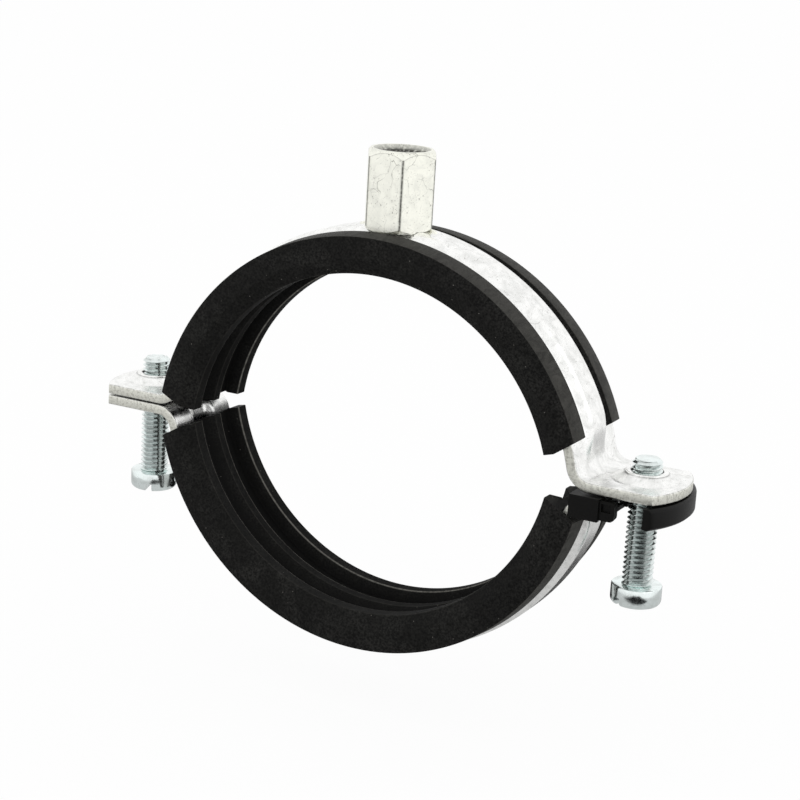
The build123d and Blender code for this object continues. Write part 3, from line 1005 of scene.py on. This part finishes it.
def nut_profile(sizes, angle):
    """(radius, height, painted shade) points of the nut at an angle: up its outside, then down the bore."""
    top = NUT_HIGH.z
    land = NUT_FLATS - sizes.nut_chamfer
    steep = tan(NUT_CHAMFER_ANGLE)
    mouth = min(1.35 * MM, land - sizes.nut_bore - 0.25 * MM)
    small_bore, small_pitch = 3.4 * MM, 1.25 * MM
    wide_thread, small_thread = 0.75 * MM, 0.5 * MM
    step_height = top - 8.5 * MM
    line = 0.1 * MM
    foot_rows, bore_rows, low_rows = 10, 64, 40
    # Painted shade along the shoulder and the mouth, and down the bore
    line_shade, least_bore_shade, most_bore_shade = 0.35, 0.55, 0.95
    turn = angle / (2 * pi)
    radius, corner = hexagon_radius(angle, NUT_FLATS, 0.65 * MM)
    # Painted shade along the rounded corners
    corner_shade = corner if corner > 0.2 else 0.0
    profile = []
    for reach in spread(small_bore, radius, foot_rows):
        profile.append((reach, nut_foot(sizes, angle, reach)))
    shoulder = top - (radius - land) * steep
    profile += [(radius, shoulder - 2 * line), (radius, shoulder), (radius - line, shoulder + line * steep),
                (land, top), (sizes.nut_bore + mouth + line, top), (sizes.nut_bore + mouth, top)]
    outside = len(profile)
    for i in range(bore_rows + 1):
        z = top - mouth * 0.4 - (top - mouth * 0.4 - step_height) * i / bore_rows
        countersink = sizes.nut_bore + mouth - (top - z)
        thread = sizes.nut_bore + wide_thread * thread_wave(z / sizes.nut_pitch - turn)
        profile.append((max(countersink, thread), z))
    profile.append((small_bore, step_height))
    foot = nut_foot(sizes, angle, small_bore)
    for i in range(1, low_rows + 1):
        z = step_height + (foot - step_height) * i / (low_rows + 1)
        profile.append((small_bore + small_thread * thread_wave(z / small_pitch - turn), z))
    # Painted shade: none under the foot; along the corners and the shoulder, a little at the top's edge, a
    # line at the mouth, and deeper down the bore
    shade_amount = [0.0] * foot_rows + [corner_shade] * 2 + [max(corner_shade, line_shade), 0.0, 0.1, 0.0, line_shade]
    shade_amount += [min(most_bore_shade, least_bore_shade + 0.12 * i) for i in range(len(profile) - outside)]
    return [(r, z, grime) for (r, z), grime in zip(profile, shade_amount)]


def hanger_nut(sizes):
    """A bmesh of the nut: a hexagon with a turned top, threaded in two sizes and seated over the bead."""
    rows, grimes = [], []
    for angle in spread(0, 2 * pi, 240)[:-1]:
        profile = nut_profile(sizes, angle)
        rows.append([(r * cos(angle), r * sin(angle), z) for r, z, _ in profile])
        grimes.append([grime for _, _, grime in profile])
    return grid_mesh(rows, wrap_rows=True, grime=grimes)[0]


def weld_bead(centre, size, seed):
    """A bmesh of one small lump of weld metal."""
    bm = bmesh.new()
    bmesh.ops.create_icosphere(bm, subdivisions=4, radius=1)
    for vert in bm.verts:
        swell = 1 + 0.28 * noise.noise(vert.co * 1.7 + Vector((seed, 0, 0)))
        vert.co = Vector(centre) + Vector(along * part for along, part in zip(vert.co, size)) * swell
    return bm


class CLAMP_OT_nut(Operator):
    """Cuts the hanger nut and lays its welds"""

    bl_idname = "clamp.nut"
    bl_label = "Hanger Nut"

    def execute(self, context):
        sizes = context.scene.clamp_sizes
        nut = hanger_nut(sizes)
        finish_mesh("hanger_nut", nut, "nut_finish", "upper_half", "connection_nut")
        radius = sizes.arc_radius + sizes.bead_rise
        centre = CROWN - radius
        for number, (x, y) in enumerate(WELD_PLACES):
            place = (x * MM, y * MM, centre + sqrt(radius**2 - (x * MM) ** 2) - 0.1 * MM)
            lump = weld_bead(place, (0.95 * MM, 0.6 * MM, 0.5 * MM), number * 3.7)
            finish_mesh(f"weld_{number + 1}", lump, "nut_finish", "upper_half")
        return {"FINISHED"}


def plate_outline(left, right, low, high, low_round, high_round):
    """An (x, z) outline of a plate with its two right corners rounded."""
    corners = [(left, low, 0, 0), (right, low, low_round, 0),
               (right, high, high_round, 0), (left, high, 0, 0)]
    return [(x, z) for x, z, _ in rounded(corners)]


def retainer_catch():
    """A bmesh of the catch on the retainer's front cheek, with its small recess."""
    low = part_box("screw_retainer")[0]
    left, right = low.x + 6 * MM, screw_axis("right_screw")[0] - 1.7 * MM
    bottom, roof = low.z + 0.4 * MM, -0.6 * MM
    front, behind, root = -10.85 * MM, -10.06 * MM, -8.7 * MM
    plate = standing_prism(plate_outline(left, right, bottom, roof, 0.9 * MM, 0.25 * MM), front, behind)
    block = plate_outline(left + 0.9 * MM, right - 0.2 * MM, bottom, roof, 0.8 * MM, 0.2 * MM)
    catch = combined(plate, standing_prism(block, behind - 0.1 * MM, root), "UNION")
    recess_left, recess_right = left + 0.45 * MM, right - 0.75 * MM
    recess_low, recess_high, recess_depth = -2.7 * MM, -1.15 * MM, 0.55 * MM
    recess = [(recess_left, recess_low), (recess_right, recess_low),
              (recess_right, recess_high), (recess_left, recess_high)]
    return combined(catch, standing_prism(recess, front - 1 * MM, front + recess_depth), "DIFFERENCE")


class CLAMP_OT_retainer(Operator):
    """Finishes the moulded retainer"""

    bl_idname = "clamp.retainer"
    bl_label = "Screw Retainer"

    def execute(self, context):
        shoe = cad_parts["screw_retainer"]
        shoe.data.materials.clear()
        shoe.data.materials.append(finish("plastic_finish"))
        weld = shoe.modifiers.new("weld", "WELD")
        weld.merge_threshold = 0.001 * MM
        soften_edges(shoe, "moulded edges", 0.25 * MM, 40)
        catch = retainer_catch()
        catch = finish_mesh("retainer_catch", catch, "plastic_finish", "lower_half")
        soften_edges(catch, "moulded edges", 0.12 * MM, 50)
        return {"FINISHED"}


# Stage


def seen_directly(maker):
    """1 for rays from the camera and for mirrored and transmitted ones, and 0 for the rest."""
    path = maker.add("ShaderNodeLightPath")
    seen = maker.most(path.outputs["Is Camera Ray"], path.outputs["Is Glossy Ray"])
    return maker.most(seen, path.outputs["Is Transmission Ray"])


def stage_finish(name, grey, share):
    """A matte surface that glows white, by a share, where the camera or a reflection looks at it."""
    material = bpy.data.materials.new(name)
    material.use_nodes = True
    tree = material.node_tree
    maker = NodeMaker(tree)
    tree.nodes.remove(tree.nodes["Principled BSDF"])
    matte = maker.add("ShaderNodeBsdfDiffuse")
    matte.inputs["Color"].default_value = (grey, grey, grey, 1)
    glow = maker.add("ShaderNodeEmission")
    glow.inputs["Color"].default_value = WHITE
    glow.inputs["Strength"].default_value = 1
    blend = maker.add("ShaderNodeMixShader")
    maker.link(maker.times(seen_directly(maker), share), blend.inputs[0])
    maker.link(matte.outputs[0], blend.inputs[1])
    maker.link(glow.outputs[0], blend.inputs[2])
    maker.link(blend.outputs[0], tree.nodes["Material Output"].inputs["Surface"])
    return material


def stage_plane(name, size, location, rotation, material):
    """A flat stage piece."""
    mesh = bpy.data.meshes.new(name)
    w, h = size[0] / 2, size[1] / 2
    mesh.from_pydata([(-w, -h, 0), (w, -h, 0), (w, h, 0), (-w, h, 0)], [], [(0, 1, 2, 3)])
    mesh.materials.append(material)
    plane = placed(name, mesh)
    plane.location = location
    plane.rotation_euler = rotation
    return plane


def area_lamp(name, location, size, power):
    """A soft square lamp that points at the clamp."""
    data = bpy.data.lights.new(name, "AREA")
    data.size = size
    data.energy = power
    lamp = placed(name, data)
    lamp.location = location
    lamp.rotation_euler = (-Vector(location)).to_track_quat("-Z", "Y").to_euler()
    return lamp


def set_camera(scene, stage):
    """Places the camera by its turn, height angle, roll and distance."""
    az, el = stage.azimuth, stage.elevation
    back = Vector((sin(az) * cos(el), -cos(az) * cos(el), sin(el)))
    right = Vector((cos(az), sin(az), 0))
    up = back.cross(right)
    across_x = right * cos(stage.roll) + up * sin(stage.roll)
    across_y = up * cos(stage.roll) - right * sin(stage.roll)
    data = bpy.data.cameras.new("camera")
    data.lens = stage.lens
    data.sensor_width = SENSOR_WIDTH
    data.clip_start, data.clip_end = 0.01, 20
    camera = placed("camera", data)
    axes = Matrix((across_x, across_y, back)).transposed()
    camera.matrix_world = Matrix.Translation(CAMERA_TARGET + back * stage.distance) @ axes.to_4x4()
    scene.camera = camera


def lay_floor(azimuth):
    """Lays the white floor, and the cards that only the metal mirrors, with sizes and places in metres."""
    white = stage_finish("floor_white", 0.95, 0.94)
    stage_plane("floor", (6, 6), (0, 0, KEEL - 12 * MM), (0, 0, 0), white)
    dark, grey = stage_finish("card_dark", 0.008, 0), stage_finish("card_grey", 0.2, 0.5)
    right = Vector((cos(azimuth), sin(azimuth), 0))
    ahead = Vector((sin(azimuth), -cos(azimuth), 0))
    low = Vector((0, 0, KEEL - 11 * MM))
    for name, size, place, turn, material in (
        ("card_front", (0.22, 0.42), low + ahead * 0.31 + right * 0.025, (0, 0, azimuth), dark),
        ("card_low", (0.1, 0.07), low + Vector((0, 0.075, 0)), (0, 0, 0), dark),
        ("card_gap", (0.03, 0.05), Vector((-0.018, 0.045, -0.012)), (pi / 2, 0, 0), dark),
        ("card_floor", (0.5, 0.5), low - Vector((0, 0, 0.5 * MM)), (0, 0, 0), grey),
    ):
        card = stage_plane(name, size, place, turn, material)
        card.visible_camera = False
        card.visible_diffuse = False
        card.visible_shadow = False


def set_world(scene, strength):
    """An even light that shows as plain white where it's seen."""
    world = bpy.data.worlds.new("studio")
    scene.world = world
    world.use_nodes = True
    maker = NodeMaker(world.node_tree)
    backdrop = world.node_tree.nodes["Background"]
    backdrop.inputs["Color"].default_value = WHITE
    maker.link(maker.span(seen_directly(maker), 0, 1, strength, 1), backdrop.inputs["Strength"])


class CLAMP_OT_stage(Operator):
    """Sets the camera, floor, lamps and world"""

    bl_idname = "clamp.stage"
    bl_label = "Stage"

    def execute(self, context):
        scene = context.scene
        stage = scene.clamp_stage
        set_camera(scene, stage)
        lay_floor(stage.azimuth)
        key = area_lamp("key", (-0.3, -0.4, 0.75), 1.1, stage.key_power)
        key.visible_glossy = False
        area_lamp("fill", (0.75, -0.2, 0.35), 0.6, stage.fill_power)
        set_world(scene, stage.world_light)
        scene.view_settings.view_transform = "Standard"
        return {"FINISHED"}


OPERATORS = (
    CLAMP_OT_bands,
    CLAMP_OT_collars,
    CLAMP_OT_liners,
    CLAMP_OT_nut,
    CLAMP_OT_screws,
    CLAMP_OT_retainer,
    CLAMP_OT_stage,
)


class CLAMP_PT_panel(Panel):
    """Lists the clamp's pieces"""

    bl_idname = "CLAMP_PT_panel"
    bl_label = "Pipe Clamp"
    bl_space_type = "VIEW_3D"
    bl_region_type = "UI"
    bl_category = "Pipe Clamp"

    def draw(self, context):
        for operator in OPERATORS:
            self.layout.operator(operator.bl_idname)
        for group in (context.scene.clamp_sizes, context.scene.clamp_colours, context.scene.clamp_stage):
            column = self.layout.box().column()
            for key in group.__annotations__:
                column.prop(group, key)


CLASSES = (ClampSizes, ClampColours, ClampStage, *OPERATORS, CLAMP_PT_panel)


def register():
    """Adds the classes and the scene's settings."""
    for each in CLASSES:
        bpy.utils.register_class(each)
    bpy.types.Scene.clamp_sizes = PointerProperty(type=ClampSizes)
    bpy.types.Scene.clamp_colours = PointerProperty(type=ClampColours)
    bpy.types.Scene.clamp_stage = PointerProperty(type=ClampStage)


def unregister():
    """Takes them away again."""
    del bpy.types.Scene.clamp_stage
    del bpy.types.Scene.clamp_colours
    del bpy.types.Scene.clamp_sizes
    for each in reversed(CLASSES):
        bpy.utils.unregister_class(each)


def main():
    """Builds the whole clamp and its stage."""
    register()
    bpy.ops.clamp.bands()
    bpy.ops.clamp.collars()
    bpy.ops.clamp.liners()
    bpy.ops.clamp.nut()
    bpy.ops.clamp.screws()
    bpy.ops.clamp.retainer()
    bpy.ops.clamp.stage()


if __name__ == "__main__":
    main()
